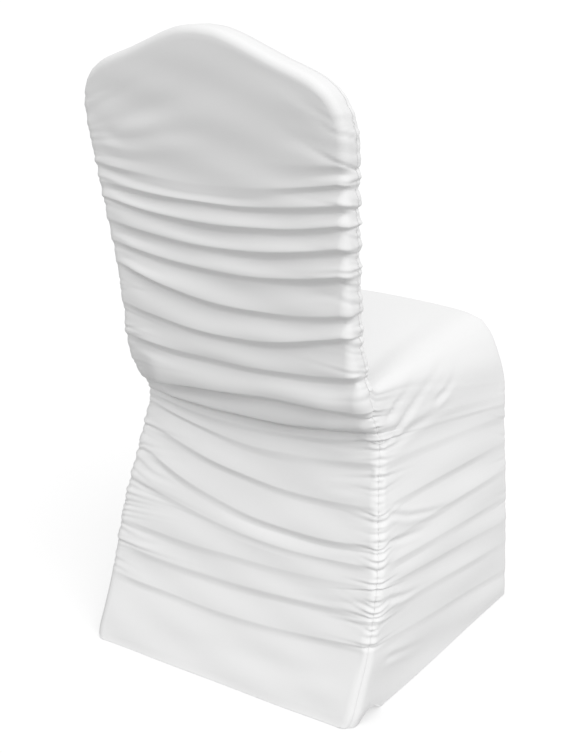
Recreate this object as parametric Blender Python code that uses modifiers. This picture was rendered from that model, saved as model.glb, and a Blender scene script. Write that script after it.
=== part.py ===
"""A stretch chair cover as four sewn panels of thin knit, hollow and open at the hem.

Metres, +Z up. The wearer's back is at +Y, the front skirt at -Y, and X is left and right about 0.
Each panel is a loft through level rows that follow the creases of the cloth, so that every row
is a crease, the swell beside it, or a plain row where the cloth is smooth.
"""
from collections import namedtuple
from math import cos, pi, radians, sin, sqrt

import bmesh
import bpy
from mathutils import Vector

# Driving sizes
SHEET = 0.0018
SEAM_GAP = 0.0004
SEAT_GAP = 0.0009
SEAM_STRIP = 0.0015
TUBE_DEPTH = 0.042
REAR_RADIUS = 0.018
INNER_RADIUS = 0.009
FRONT_RADIUS = 0.020
TUBE_BAND = 0.0125
LEG_TURN = radians(45)
FULL_TURN = radians(90)
TURN_FROM = 0.335
TURN_TO = 0.455
BAND_FROM = 0.400
BAND_TO = 0.490
FILLET_RADIUS = 0.030
SEAT_CROWN = 0.010
HEM_SCALLOP = 0.013
SCALLOP_FROM_FOOT = 0.045
SCALLOP_SPREAD = 0.026
FRONT_EASE = 0.7
INNER_EASE = 0.6
INNER_EASE_AT_FACE = 0.4
SEAM_REACH = 0.020
CORNER_DIP = 0.008
DIP_START = 0.012
DIP_END = 0.120
# How far the lines beside the seat's rear corners dip, from the leg into the seat
CORNER_DIPS = [1.0, 0.8, 0.6, 0.4, 0.2]
HEM_LIFT = 0.0008

# The rear panel seen square on: its half width and the y of its face at each height
Section = namedtuple("Section", "height half_width rear_y")
REAR = [
    Section(0.000, 0.2347, 0.2350),
    Section(0.030, 0.2335, 0.2220),
    Section(0.100, 0.2345, 0.1940),
    Section(0.200, 0.2304, 0.1700),
    Section(0.300, 0.2153, 0.1480),
    Section(0.380, 0.2035, 0.1370),
    Section(0.420, 0.2019, 0.1645),
    Section(0.460, 0.1994, 0.1860),
    Section(0.520, 0.1925, 0.2010),
    Section(0.600, 0.1937, 0.2150),
    Section(0.700, 0.1998, 0.2350),
    Section(0.790, 0.2058, 0.2520),
    Section(0.820, 0.2040, 0.2580),
    Section(0.843, 0.1965, 0.2630),
    Section(0.862, 0.1820, 0.2670),
    Section(0.927, 0.1820, 0.2800),
]
SHOULDER_HEIGHT = 0.862

# The curved top edge, from a shoulder to the middle
Crown = namedtuple("Crown", "x height")
CROWN = [
    Crown(0.000, 0.9270),
    Crown(0.028, 0.9245),
    Crown(0.055, 0.9165),
    Crown(0.085, 0.9045),
    Crown(0.115, 0.8925),
    Crown(0.142, 0.8830),
    Crown(0.164, 0.8740),
    Crown(0.1820, 0.8620),
]

# The front edge of the seat and skirt, from the hem up the leg, over the corner to the middle
FrontEdge = namedtuple("FrontEdge", "half_width height front_y")
FRONT_LEG = [
    FrontEdge(0.2245, 0.000, -0.2810),
    FrontEdge(0.2235, 0.110, -0.2705),
    FrontEdge(0.2205, 0.220, -0.2605),
    FrontEdge(0.2165, 0.300, -0.2530),
    FrontEdge(0.2160, 0.350, -0.2480),
    FrontEdge(0.2140, 0.380, -0.2455),
]
FRONT_SHOULDER = [
    FrontEdge(0.2085, 0.405, -0.2430),
    FrontEdge(0.2000, 0.430, -0.2402),
    FrontEdge(0.1890, 0.455, -0.2370),
    FrontEdge(0.1740, 0.474, -0.2335),
]
SEAT_FRONT = [
    FrontEdge(0.0000, 0.4885, -0.2320),
    FrontEdge(0.0580, 0.4875, -0.2320),
    FrontEdge(0.1060, 0.4855, -0.2322),
    FrontEdge(0.1500, 0.4815, -0.2325),
    FrontEdge(0.1740, 0.4740, -0.2335),
]
SEAT_FRONT_REACH = 0.150

# The creases from the crown to the hem: height at the +X seam, the middle and the -X seam, the
# height where they reach the front legs, their depths in millimetres in the same order with the
# sides, and how many rows lie between each and the next one down
Crease = namedtuple("Crease", "plus middle minus front deep_plus deep_middle deep_minus deep_side rows")
CREASES = [
    Crease(0.757, 0.750, 0.768, 0.384, 4.0, 0.5, 4.0, 0.0, 2),
    Crease(0.735, 0.722, 0.748, 0.384, 4.5, 1.0, 5.0, 0.0, 2),
    Crease(0.707, 0.700, 0.718, 0.384, 4.0, 5.0, 5.0, 0.0, 2),
    Crease(0.689, 0.668, 0.694, 0.384, 4.0, 6.0, 5.5, 0.0, 3),
    Crease(0.651, 0.636, 0.661, 0.384, 4.5, 5.0, 5.0, 0.0, 3),
    Crease(0.622, 0.602, 0.624, 0.384, 4.5, 5.0, 5.5, 0.0, 3),
    Crease(0.590, 0.555, 0.571, 0.384, 5.0, 5.5, 6.0, 0.0, 3),
    Crease(0.530, 0.510, 0.542, 0.384, 4.5, 5.0, 5.0, 0.0, 3),
    Crease(0.482, 0.470, 0.487, 0.384, 4.5, 4.0, 5.0, 0.0, 3),
    Crease(0.398, 0.419, 0.427, 0.368, 4.0, 5.0, 5.0, 3.0, 2),
    Crease(0.386, 0.377, 0.399, 0.350, 3.0, 4.0, 4.0, 3.0, 1),
    Crease(0.378, 0.356, 0.385, 0.338, 2.0, 2.0, 4.0, 3.0, 2),
    Crease(0.364, 0.332, 0.348, 0.312, 4.0, 4.0, 4.0, 3.5, 3),
    Crease(0.327, 0.286, 0.289, 0.268, 5.0, 4.5, 5.0, 5.0, 3),
    Crease(0.290, 0.233, 0.240, 0.222, 5.0, 5.0, 5.0, 5.0, 2),
    Crease(0.238, 0.205, 0.210, 0.170, 4.5, 1.5, 2.5, 4.5, 2),
    Crease(0.172, 0.167, 0.182, 0.130, 4.5, 2.0, 2.0, 3.0, 2),
    Crease(0.134, 0.129, 0.146, 0.090, 4.5, 4.0, 4.0, 4.0, 3),
    Crease(0.090, 0.084, 0.100, 0.038, 4.0, 3.5, 3.5, 3.5, 3),
]
HEM = Crease(HEM_LIFT, HEM_LIFT, HEM_LIFT, HEM_LIFT, 0.0, 0.0, 0.0, 0.0, 0)
LAST_TUBE_CREASE = 8
MILLIMETRE = 0.001
# The middle of the finished cover in the tables' own numbers
MIDDLE = Vector((0.0002, -0.0023, 0.0))
# Share of the way to the next crease, and the swell there as a share of the depth
SWELLS = {
    1: [],
    2: [(0.48, 0.50)],
    3: [(0.30, 0.42), (0.66, 0.46)],
}
# Share of the way from the top crease to the crown, and the swell there
CROWN_ROWS = [(1.00, 0.0), (0.75, 0.0), (0.45, 0.0), (0.18, 0.4)]
COLUMNS = 14
COLUMN_CROWDING = 1.25
REAR_RINGS = [0.22, 0.44, 0.68, None, 1.0]
INNER_RINGS = [0.25, 0.50, 0.75, None, 1.0]
FRONT_RINGS = [None, 1.0]
STATIONS = 7

Row = namedtuple("Row", "plus middle minus front push_plus push_middle push_minus push_side crown")


def mix(a, b, share):
    return a + (b - a) * share


def ease(value, low, high):
    share = min(max((value - low) / (high - low), 0.0), 1.0)
    return share * share * (3.0 - 2.0 * share)


def read_table(table, key, column, value):
    """Reads a smooth curve through one column of a table."""
    xs = [getattr(row, key) for row in table]
    ys = [getattr(row, column) for row in table]
    if xs[0] > xs[-1]:
        xs.reverse()
        ys.reverse()
    value = min(max(value, xs[0]), xs[-1])
    last = len(xs) - 1
    i = max(k for k in range(last) if xs[k] <= value)

    def slope(k):
        low = max(k - 1, 0)
        high = min(k + 1, last)
        return (ys[high] - ys[low]) / (xs[high] - xs[low])

    width = xs[i + 1] - xs[i]
    t = (value - xs[i]) / width
    rise = ys[i + 1] - ys[i]
    start = slope(i) * width - rise
    end = rise - slope(i + 1) * width
    return mix(ys[i], ys[i + 1], t) + t * (1 - t) * (start * (1 - t) + end * t)


def half_width(height):
    return read_table(REAR, "height", "half_width", height)


def rear_y(height):
    return read_table(REAR, "height", "rear_y", height)


def crown_height(x):
    return read_table(CROWN, "x", "height", abs(x))


def make_rows():
    """Lists every row of the rear panel from the crown to the hem."""
    top = CREASES[0]
    rows = []
    for share, swell in CROWN_ROWS:
        push = swell * top.deep_minus * MILLIMETRE
        rows.append(Row(mix(top.plus, SHOULDER_HEIGHT, share), top.middle,
                        mix(top.minus, SHOULDER_HEIGHT, share), 0.0, push, 0.0, push, 0.0, share))
    for upper, lower in zip(CREASES, CREASES[1:] + [HEM]):
        depths = [-d * MILLIMETRE for d in upper[4:8]]
        rows.append(Row(*upper[:4], *depths, 0.0))
        for share, swell in SWELLS[upper.rows]:
            heights = [mix(a, b, share) for a, b in zip(upper[:4], lower[:4])]
            pushes = [swell * mix(a, b, share) * MILLIMETRE for a, b in zip(upper[4:8], lower[4:8])]
            rows.append(Row(*heights, *pushes, 0.0))
    rows.append(Row(*HEM[:8], 0.0))
    return rows


ROWS = make_rows()
SEAT_ROW = len(CROWN_ROWS) + sum(c.rows for c in CREASES[:LAST_TUBE_CREASE]) + 1
LEG_ROWS = ROWS[SEAT_ROW:]
TUBE_ROWS = ROWS[:SEAT_ROW + 1]


def column_places(count):
    """Spreads columns from -1 to 1, closer together near the seams."""
    places = []
    for i in range(count + 1):
        t = 2.0 * i / count - 1.0
        reach = 1.0 - (1.0 - abs(t)) ** COLUMN_CROWDING
        places.append(reach if t > 0 else -reach)
    return places


def side_height(row, side):
    return row.plus if side > 0 else row.minus


def side_push(row, side):
    return row.push_plus if side > 0 else row.push_minus


def outline_normal(side, height):
    """The outward direction, in the XZ plane, of the tube's side edge."""
    if height <= HEM_LIFT:
        return Vector((side, 0.0, 0.0))
    step = 0.002
    low = half_width(height - step)
    high = half_width(height + step)
    if height > SHOULDER_HEIGHT - step:
        high = low - 2.0 * step
    normal = Vector((2.0 * step, 0.0, low - high)).normalized()
    return Vector((side * normal.x, 0.0, normal.z))


def crown_normal(x):
    step = 0.002
    rise = crown_height(x + step) - crown_height(x - step)
    return Vector((-rise, 0.0, 2.0 * step)).normalized()


def side_edge(side, height):
    """The outermost point of the tube or skirt at a height, and its outward direction."""
    return Vector((side * half_width(height), 0.0, height)), outline_normal(side, height)


def crown_edge(u):
    x = u * CROWN[-1].x
    if abs(u) > 0.999:
        return side_edge(1 if u > 0 else -1, SHOULDER_HEIGHT)
    return Vector((x, 0.0, crown_height(x))), crown_normal(x)


def rim_edges(rows):
    """The edge from the -X end of the lowest row over the crown to the +X end, with its pushes."""
    rim = [(*side_edge(-1, row.minus), row.push_minus) for row in reversed(rows)]
    rim += [(*crown_edge(u), 0.0) for u in column_places(COLUMNS)[1:-1]]
    rim += [(*side_edge(1, row.plus), row.push_plus) for row in rows]
    return rim


def rear_turn(height):
    return mix(LEG_TURN, FULL_TURN, ease(height, TURN_FROM, TURN_TO))


def rear_band(height):
    return TUBE_BAND * ease(height, BAND_FROM, BAND_TO)


def wrap(inner, normal, way, radius, turn, run):
    """Carries a point round a rounded edge: run is the length of cloth past the flat face."""
    along = Vector((0.0, way, 0.0))
    angle = min(run / radius, turn)
    rest = max(run - radius * turn, 0.0)
    reach = radius * sin(angle) + rest * cos(turn)
    drop = radius * (1.0 - cos(angle)) + rest * sin(turn)
    return inner + normal * reach - along * drop, normal * sin(angle) + along * cos(angle)


def margin_run(length, share):
    """The run of a ring: None is the strip beside the seam, and 1 the seam's own edge."""
    if share is None:
        return length - SEAM_STRIP
    if share == 1.0:
        return length - SEAM_GAP / 2
    return length * share


def rear_margin(outer, normal, share, to_seam=False):
    """A point on the rear panel's wrapped margin, or the seam line itself, and its direction."""
    inner = outer - normal * REAR_RADIUS
    inner.y = rear_y(inner.z)
    turn = rear_turn(outer.z)
    length = REAR_RADIUS * turn + rear_band(outer.z)
    run = length if to_seam else margin_run(length, share)
    return wrap(inner, normal, 1.0, REAR_RADIUS, turn, run)


def inner_margin(outer, normal, share):
    """A point on the inner back's wrapped margin, which ends at the rear panel's seam."""
    seam, _ = rear_margin(outer, normal, 1.0, to_seam=True)
    inner = outer - normal * INNER_RADIUS
    inner.y = inner_y(inner.z)
    band = seam.y - inner.y - INNER_RADIUS
    length = INNER_RADIUS * FULL_TURN + band
    return wrap(inner, normal, -1.0, INNER_RADIUS, FULL_TURN, margin_run(length, share))


def face_point(row, u, radius):
    """A point in the XZ plane on the flat part of the rear or inner face, and its push."""
    minus, plus = [outer - normal * radius for outer, normal in
                   (side_edge(-1, row.minus), side_edge(1, row.plus))]
    sag = 1.0 - u * u
    point = mix(minus, plus, (u + 1) / 2)
    push = mix(row.push_minus, row.push_plus, (u + 1) / 2)
    push += (row.push_middle - (row.push_minus + row.push_plus) / 2) * sag
    if row.crown == 0.0:
        point.z += (row.middle - (row.minus + row.plus) / 2) * sag
        return point, push
    outer, normal = crown_edge(u)
    top = outer - normal * radius
    outer, normal = crown_edge(1.0)
    corner = outer - normal * radius
    first = CREASES[0]
    swag = (first.middle - (first.minus + first.plus) / 2) * sag
    point.x += (top.x - u * corner.x) * row.crown
    point.z += mix(swag, top.z - corner.z, row.crown)
    return point, push * (1.0 - sag)


def rear_panel():
    """The outside back from the crown to the hem, turned over the top and round the sides."""
    face = []
    for row in ROWS:
        line = []
        for u in column_places(COLUMNS):
            point, push = face_point(row, u, REAR_RADIUS)
            point.y = rear_y(point.z) + push
            line.append(point)
        face.append(line)
    rings = []
    for share in [0.0] + REAR_RINGS:
        ring = []
        for outer, normal, push in rim_edges(ROWS):
            point, out = rear_margin(outer, normal, share)
            ring.append(point + out * push)
        rings.append(ring)
    return [face, rings]


def inner_y(height):
    return rear_y(height) - TUBE_DEPTH


def fillet(height_above):
    """How far the inner back flares forward to meet the seat."""
    reach = FILLET_RADIUS * sin(LEG_TURN)
    left = max(reach - height_above, 0.0)
    return FILLET_RADIUS - sqrt(FILLET_RADIUS ** 2 - left ** 2)


def fillet_fade(u):
    return 1.0 - ease(abs(u), 0.75, 0.98)


def base_point(u):
    """A point on the level line where the inner back meets the seat."""
    base = TUBE_ROWS[-1]._replace(middle=(TUBE_ROWS[-1].minus + TUBE_ROWS[-1].plus) / 2)
    point, _ = face_point(base, u, INNER_RADIUS)
    point.y = inner_y(point.z) - fillet(0.0) * fillet_fade(u)
    return point


def inner_push(push, share):
    """The push on the inner back's margin grows from the face's own to the seam's."""
    if share is None:
        return push
    return push * mix(INNER_EASE_AT_FACE, 1.0, share)


def inner_panel():
    """The front of the backrest, from the crown down to the seat."""
    face = []
    for row in TUBE_ROWS:
        line = []
        for u in column_places(COLUMNS):
            point, push = face_point(row, u, INNER_RADIUS)
            base = base_point(u)
            at_side = ease(abs(u), 0.9, 1.0)
            share = mix(INNER_EASE, INNER_EASE_AT_FACE, at_side)
            point.y = inner_y(point.z) - push * share - fillet(point.z - base.z) * fillet_fade(u)
            if row is TUBE_ROWS[-1]:
                point = base + Vector((0.0, -push * share * at_side, SEAT_GAP))
            line.append(point)
        face.append(line)
    rings = []
    rim = rim_edges(TUBE_ROWS)
    for share in [0.0] + INNER_RINGS:
        ring = []
        for i, (outer, normal, push) in enumerate(rim):
            point, out = inner_margin(outer, normal, share)
            point += out * inner_push(push, share)
            point.z += SEAT_GAP if i in (0, len(rim) - 1) else 0.0
            ring.append(point)
        rings.append(ring)
    return [face, rings]


def front_line():
    """The front seam from the -X hem over the seat to the +X hem, on the outermost line."""
    leg = [(read_table(FRONT_LEG, "height", "half_width", row.front), row.front,
            read_table(FRONT_LEG, "height", "front_y", row.front)) for row in reversed(LEG_ROWS)]
    leg += [(p.half_width, p.height, p.front_y) for p in FRONT_SHOULDER]
    top = []
    for u in column_places(COLUMNS):
        x = u * SEAT_FRONT_REACH
        top.append(Vector((x, read_table(SEAT_FRONT, "half_width", "front_y", abs(x)),
                           read_table(SEAT_FRONT, "half_width", "height", abs(x)))))
    minus = [Vector((-x, y, z)) for x, z, y in leg]
    plus = [Vector((x, y, z)) for x, z, y in reversed(leg)]
    return minus + top + plus


def rear_line():
    """The saddle's rear edge, point for point with front_line, with directions and pushes."""
    up = Vector((0.0, 0.0, 1.0))
    legs = {}
    rings = {}
    for side in (-1, 1):
        edges = [(side_edge(side, side_height(row, side)), side_push(row, side)) for row in LEG_ROWS]
        legs[side] = [(*rear_margin(*edge, 1.0, to_seam=True), push) for edge, push in edges]
        (outer, normal), push = edges[0]
        rings[side] = []
        for share in INNER_RINGS[-2::-1]:
            point, out = inner_margin(outer, normal, share)
            rings[side].append((point + out * inner_push(push, share), up, 0.0))
    middle = []
    for u in column_places(COLUMNS):
        point = base_point(u)
        row = TUBE_ROWS[-1]
        at_side = ease(abs(u), 0.9, 1.0)
        push = mix(row.push_minus, row.push_plus, (u + 1) / 2)
        point.y -= push * INNER_EASE_AT_FACE * at_side
        middle.append((point, up, 0.0))
    return legs[-1][::-1] + rings[-1] + middle + rings[1][::-1] + legs[1]


def line_normals(points):
    """Directions out of a line of points in the XZ plane that runs up at -X and down at +X."""
    normals = []
    for i in range(len(points)):
        before = points[max(i - 1, 0)]
        after = points[min(i + 1, len(points) - 1)]
        run = after - before
        normals.append(Vector((-run.z, 0.0, run.x)).normalized())
    normals[0] = Vector((-1.0, 0.0, 0.0))
    normals[-1] = Vector((1.0, 0.0, 0.0))
    return normals


def leg_push(row, share):
    """The push of a row on the side of the skirt: 0 at the rear seam, 1 at the front seam."""
    middle = row.push_side
    front = row.push_side * FRONT_EASE
    return mix(middle, front, ease(share, 0.6, 1.0))


def full_swell(turn, radius):
    """How far a rounded edge rises in all between its seam and the flat beyond it."""
    return radius * (1.0 - sin(turn))


def swell_share(run, turn, radius):
    """The share of that rise which is reached run metres past the seam."""
    if turn > FULL_TURN - 0.001:
        return 1.0
    lean = max(cos(turn) - run / radius, 0.0)
    return (sqrt(1.0 - lean * lean) - sin(turn)) / (1.0 - sin(turn))


def station_places(length):
    """Distances from the rear seam where the saddle has a station."""
    near = [SEAM_GAP / 2, SEAM_STRIP, 0.009]
    places = near + [length * (0.06 + 0.88 * i / STATIONS) for i in range(STATIONS + 1)]
    return places + [length - d for d in reversed(near)]


def saddle_panel():
    """The seat with both sides of the skirt in one piece, from hem over the seat to hem."""
    rear = rear_line()
    front = front_line()
    front_normals = line_normals(front)
    legs = len(LEG_ROWS)
    rows = list(reversed(LEG_ROWS)) + [None] * (len(rear) - 2 * legs) + list(LEG_ROWS)
    inset = full_swell(LEG_TURN, FRONT_RADIUS)
    turns = [1.0] * (len(INNER_RINGS) - 1)
    dips = [0.0] * (legs - CORNER_DIPS.index(1.0) - 1) + CORNER_DIPS
    dips += [0.0] * (len(rear) - 2 * len(dips)) + dips[::-1]
    spread = [-t for t in turns] + column_places(COLUMNS) + turns
    columns = []
    for i, (start, way_out, push) in enumerate(rear):
        finish = front[i] - front_normals[i] * inset
        finish.y += inset
        length = (finish - start).length
        on_leg = rows[i] is not None
        height = side_height(rows[i], -1 if i < legs else 1) if on_leg else 0.0
        turn = rear_turn(height) if on_leg else FULL_TURN
        column = []
        for d in station_places(length):
            share = d / length
            point = mix(start, finish, share)
            side = Vector((-1.0 if i < legs else 1.0, 0.0, 0.0)) if on_leg else Vector((0.0, 0.0, 1.0))
            out = mix(side, front_normals[i], ease(share, 0.0, 0.5)).normalized()
            rise = mix(full_swell(turn, REAR_RADIUS), inset, share)
            rise *= swell_share(d, turn, REAR_RADIUS) * swell_share(length - d, LEG_TURN, FRONT_RADIUS)
            point += out * rise
            if on_leg:
                near = mix(push, leg_push(rows[i], share), ease(d, 0.0, 0.12))
                ahead = (front_normals[i] - Vector((0.0, 1.0, 0.0))).normalized()
                way = mix(way_out, out, ease(d, 0.0, SEAM_REACH))
                way = mix(way, ahead, ease(share * length, length - SEAM_REACH, length - SEAM_STRIP))
                point += way.normalized() * near
                if rows[i] is ROWS[-1]:
                    bump = (d - SCALLOP_FROM_FOOT) / SCALLOP_SPREAD
                    point.z += HEM_SCALLOP * max(0.0, 1.0 - bump * bump) * (0.0 if d > 0.08 else 1.0)
            else:
                u = spread[i - legs]
                dome = SEAT_CROWN * sin(pi * share) * (1.0 - u ** 4)
                away = max(FILLET_RADIUS * sin(LEG_TURN) - d, 0.0)
                start_rise = FILLET_RADIUS * (1.0 - cos(LEG_TURN)) * fillet_fade(u)
                curve = (FILLET_RADIUS - sqrt(FILLET_RADIUS ** 2 - away ** 2)) * fillet_fade(u)
                point.z += dome - start_rise * (1.0 - share) + curve
            point.z -= CORNER_DIP * dips[i] * min(d / DIP_START, 1.0) * (1.0 - ease(d, DIP_START, DIP_END))
            column.append(point)
        columns.append(column)
    return [columns]


def front_panel():
    """The front of the skirt, from the seat's front edge to the hem."""
    line = front_line()
    normals = line_normals(line)
    side_count = len(LEG_ROWS) + len(FRONT_SHOULDER)
    minus = line[:side_count][::-1]
    plus = line[-side_count:]
    minus_normals = normals[:side_count][::-1]
    plus_normals = normals[-side_count:]
    top = line[side_count - 1:len(line) - side_count + 1]
    top_normals = normals[side_count - 1:len(line) - side_count + 1]
    rows = [None] * len(FRONT_SHOULDER) + list(LEG_ROWS)
    inner_top = [p - n * FRONT_RADIUS for p, n in zip(top, top_normals)]
    face = []
    for j in range(side_count):
        left = minus[j] - minus_normals[j] * FRONT_RADIUS
        right = plus[j] - plus_normals[j] * FRONT_RADIUS
        share = 1.0 - ease(j, 0.0, side_count * 0.5)
        row = rows[j]
        line_points = []
        for k, crest in enumerate(inner_top):
            t = k / (len(inner_top) - 1)
            flat = mix(left, right, t)
            chord = mix(inner_top[0], inner_top[-1], t)
            point = flat + (crest - chord) * share
            push = row.push_side * FRONT_EASE if row else 0.0
            point.y -= push
            line_points.append(point)
        face.append(line_points)
    rim_points = line[:]
    pushes = []
    for i in range(len(line)):
        j = side_count - 1 - i if i < side_count else i - (len(line) - side_count)
        row = rows[j] if 0 <= j < side_count and (i < side_count or i >= len(line) - side_count) else None
        pushes.append(row.push_side * FRONT_EASE if row else 0.0)
    length = FRONT_RADIUS * LEG_TURN
    rings = []
    for share in [0.0] + FRONT_RINGS:
        run = length - SEAM_STRIP if share is None else length * share
        if share == 1.0:
            run = length - SEAM_GAP / 2
        ring = []
        for point, normal, push in zip(rim_points, normals, pushes):
            inner = point - normal * FRONT_RADIUS
            placed, out = wrap(inner, normal, -1.0, FRONT_RADIUS, LEG_TURN, run)
            ring.append(placed + out * push)
        rings.append(ring)
    return [face, rings]


def new_collection(name):
    collection = bpy.data.collections.new(name)
    bpy.context.scene.collection.children.link(collection)
    return collection


def knit(name, colour, roughness):
    material = bpy.data.materials.new(name)
    material.use_nodes = True
    shader = material.node_tree.nodes["Principled BSDF"]
    shader.inputs["Base Color"].default_value = (*colour, 1.0)
    shader.inputs["Roughness"].default_value = roughness
    shader.inputs["Metallic"].default_value = 0.0
    return material


def sew(name, patches, centre, colour, collection):
    """Joins a panel's patches into one open surface and gives it the thickness of the knit."""
    bm = bmesh.new()
    for patch in patches:
        grid = [[bm.verts.new(point) for point in line] for line in patch]
        for upper, lower in zip(grid, grid[1:]):
            for a, b, c, d in zip(upper, upper[1:], lower[1:], lower):
                bm.faces.new((a, b, c, d))
    bmesh.ops.remove_doubles(bm, verts=bm.verts[:], dist=0.00003)
    bmesh.ops.recalc_face_normals(bm, faces=bm.faces[:])
    bm.normal_update()
    lean = sum(f.calc_area() * f.normal.dot(f.calc_center_median() - centre) for f in bm.faces)
    if lean < 0.0:
        bmesh.ops.reverse_faces(bm, faces=bm.faces[:])
    mesh = bpy.data.meshes.new(name)
    bm.to_mesh(mesh)
    bm.free()
    mesh.shade_smooth()
    mesh.materials.append(knit(name + "_knit", colour, 0.62))
    panel = bpy.data.objects.new(name, mesh)
    collection.objects.link(panel)
    panel.location = -MIDDLE
    solidify = panel.modifiers.new("thickness", "SOLIDIFY")
    solidify.thickness = SHEET
    solidify.offset = -1.0
    solidify.use_rim = True
    # Edge-weighted directions make two panels lean alike along their seam
    solidify.use_quality_normals = True
    return panel


def main():
    for item in list(bpy.data.objects):
        bpy.data.objects.remove(item, do_unlink=True)
    cover = new_collection("spandex_chair_cover")
    white = (0.86, 0.87, 0.88)
    tube_centre = Vector((0.0, 0.19, 0.68))
    body_centre = Vector((0.0, -0.05, 0.20))
    sew("outside_back_panel", rear_panel(), Vector((0.0, 0.0, 0.5)), white, cover)
    sew("inside_back_panel", inner_panel(), tube_centre, white, cover)
    sew("seat_and_sides_panel", saddle_panel(), body_centre, white, cover)
    sew("front_skirt_panel", front_panel(), body_centre, white, cover)


main()
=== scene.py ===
# %% [markdown]
# # A stretch chair cover, seen from behind
#
# The object is one white cover of thin stretch knit, pulled over a banquet chair. Four pieces of cloth are
# sewn together. Elastic in the long seams draws the cloth up, so it falls in swags across the back
# and in slanting creases round the skirt. We build each piece as a fine grid whose rows follow the creases,
# then sew, colour and light it.

import random
from collections import namedtuple
from math import cos, exp, pi, radians, sin, sqrt

import bmesh
import bpy
from mathutils import Matrix, Vector


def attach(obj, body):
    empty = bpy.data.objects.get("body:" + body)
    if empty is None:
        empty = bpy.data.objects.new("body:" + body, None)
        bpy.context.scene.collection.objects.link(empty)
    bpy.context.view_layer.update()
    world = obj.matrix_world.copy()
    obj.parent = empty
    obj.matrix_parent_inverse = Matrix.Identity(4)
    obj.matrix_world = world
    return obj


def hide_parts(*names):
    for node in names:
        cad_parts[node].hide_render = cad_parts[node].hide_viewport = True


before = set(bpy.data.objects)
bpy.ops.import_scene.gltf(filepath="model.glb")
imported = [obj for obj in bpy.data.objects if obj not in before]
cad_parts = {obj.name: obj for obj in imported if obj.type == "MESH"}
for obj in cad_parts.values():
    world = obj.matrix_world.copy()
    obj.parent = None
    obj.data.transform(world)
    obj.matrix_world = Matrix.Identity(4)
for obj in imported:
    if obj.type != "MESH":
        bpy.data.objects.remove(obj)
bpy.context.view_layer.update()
print("The frame holds", sorted(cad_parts))

# %% [markdown]
# ## The camera
#
# A camera is placed best by the thing that it looks at. A target, a compass angle, a height angle and a
# distance give its three directions. A small roll tilts the picture as the photographer did.

# %% Place the camera
TARGET = Vector((0.0350, -0.0050, 0.3949))
AZIMUTH = radians(213.396)
ELEVATION = radians(18.033)
ROLL = radians(1.0736)
CAMERA_DISTANCE = 2.0818
FOCAL_PIXELS = 1373.76
PICTURE_HEIGHT = 753
SENSOR = 36.0

away = Vector((sin(AZIMUTH) * cos(ELEVATION), -cos(AZIMUTH) * cos(ELEVATION), sin(ELEVATION)))
level_right = (-away).cross(Vector((0.0, 0.0, 1.0))).normalized()
level_up = level_right.cross(-away)
right = level_right * cos(ROLL) + level_up * sin(ROLL)
up = level_up * cos(ROLL) - level_right * sin(ROLL)


def add_object(name, data):
    thing = bpy.data.objects.new(name, data)
    bpy.context.scene.collection.objects.link(thing)
    return thing


camera_data = bpy.data.cameras.new("photo_camera")
camera_data.sensor_width = SENSOR
camera_data.lens = FOCAL_PIXELS * SENSOR / PICTURE_HEIGHT
camera = add_object("photo_camera", camera_data)
turn = Matrix((right, up, away)).transposed().to_4x4()
camera.matrix_world = Matrix.Translation(TARGET + away * CAMERA_DISTANCE) @ turn
bpy.context.scene.camera = camera
print("The lens is", round(camera_data.lens, 1), "mm")

# %% [markdown]
# ## Small tools for tables
#
# Curves in cloth are easiest to keep as short tables of sizes. The helpers mix two values, fade one in, and
# draw a smooth curve through a column of a table, so that no kink shows between its rows.

# %% Read smooth curves from tables
def mix(a, b, share):
    return a + (b - a) * share


def ease(value, low, high):
    share = min(max((value - low) / (high - low), 0.0), 1.0)
    return share * share * (3.0 - 2.0 * share)


def read_table(table, key, column, value):
    """A column's value on a smooth curve through the table, where the key column has the given value."""
    xs = [getattr(row, key) for row in table]
    ys = [getattr(row, column) for row in table]
    if xs[0] > xs[-1]:
        xs.reverse()
        ys.reverse()
    value = min(max(value, xs[0]), xs[-1])
    last = len(xs) - 1
    i = max(k for k in range(last) if xs[k] <= value)

    def slope(k):
        low = max(k - 1, 0)
        high = min(k + 1, last)
        return (ys[high] - ys[low]) / (xs[high] - xs[low])

    width = xs[i + 1] - xs[i]
    t = (value - xs[i]) / width
    rise = ys[i + 1] - ys[i]
    start = slope(i) * width - rise
    end = rise - slope(i + 1) * width
    return mix(ys[i], ys[i + 1], t) + t * (1 - t) * (start * (1 - t) + end * t)


print("A tenth of the way is", mix(0.0, 1.0, 0.1), "and eased it is", round(ease(0.1, 0.0, 1.0), 3))

# %% [markdown]
# ## The outline of the chair under the cloth
#
# The cover takes the chair's shape. Tables hold it: the back seen square on, the curved top edge, and the
# front edges of the skirt and the seat. They repeat the sizes of the solid part, so that the cloth lies
# exactly where the solid says.

# %% Tables of the outline
Section = namedtuple("Section", "height half_width rear_y")
REAR = [Section(*sizes) for sizes in [
    (0.000, 0.2347, 0.2350),
    (0.030, 0.2335, 0.2220),
    (0.100, 0.2345, 0.1940),
    (0.200, 0.2304, 0.1700),
    (0.300, 0.2153, 0.1480),
    (0.380, 0.2035, 0.1370),
    (0.420, 0.2019, 0.1645),
    (0.460, 0.1994, 0.1860),
    (0.520, 0.1925, 0.2010),
    (0.600, 0.1937, 0.2150),
    (0.700, 0.1998, 0.2350),
    (0.790, 0.2058, 0.2520),
    (0.820, 0.2040, 0.2580),
    (0.843, 0.1965, 0.2630),
    (0.862, 0.1820, 0.2670),
    (0.880, 0.1600, 0.2706),
    (0.927, 0.1030, 0.2800),
]]
SHOULDER_HEIGHT = 0.862

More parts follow.
